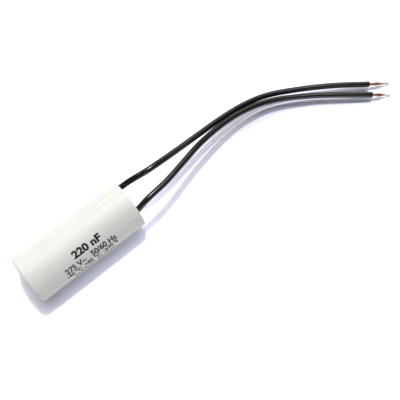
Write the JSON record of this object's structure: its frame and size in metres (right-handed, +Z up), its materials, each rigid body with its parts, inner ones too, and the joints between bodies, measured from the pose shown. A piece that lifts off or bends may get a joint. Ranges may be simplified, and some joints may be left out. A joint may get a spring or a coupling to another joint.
{
  "type": "tubular interference suppression capacitor",
  "caption": "White moulded tubular film capacitor lying on its side, with black insulated leads stripped and tinned at their ends.",
  "frame": {"origin": "on the surface it lies on, under the middle of the case", "axes": "+X along the case from its closed end to the end with the leads; +Y to the side, away from the way the leads bend; +Z up"},
  "size_m": [0.1491, 0.0346, 0.0187],
  "materials": {
    "white_plastic": "smooth moulded, satin",
    "cast_resin": "cast, glossy",
    "metallised_film": "wound metallised film",
    "wrap_film": "clear yellowish film",
    "sprayed_zinc": "sprayed, rough",
    "solder": "solder, bright",
    "black_pvc": "extruded, glossy",
    "bare_copper": "stranded, bright"
  },
  "bodies": {
    "root": {"case": "white_plastic", "resin_fill": "cast_resin", "film_winding": "metallised_film", "winding_wrap": "wrap_film", "end_spray_closed": "sprayed_zinc", "end_spray_open": "sprayed_zinc", "solder_joint_1": "solder", "solder_joint_2": "solder", "lead_1_insulation": "black_pvc", "lead_1_conductor": "bare_copper", "lead_1_tinned_tip": "solder", "lead_2_insulation": "black_pvc", "lead_2_conductor": "bare_copper", "lead_2_tinned_tip": "solder"}
  },
  "joints": []
}
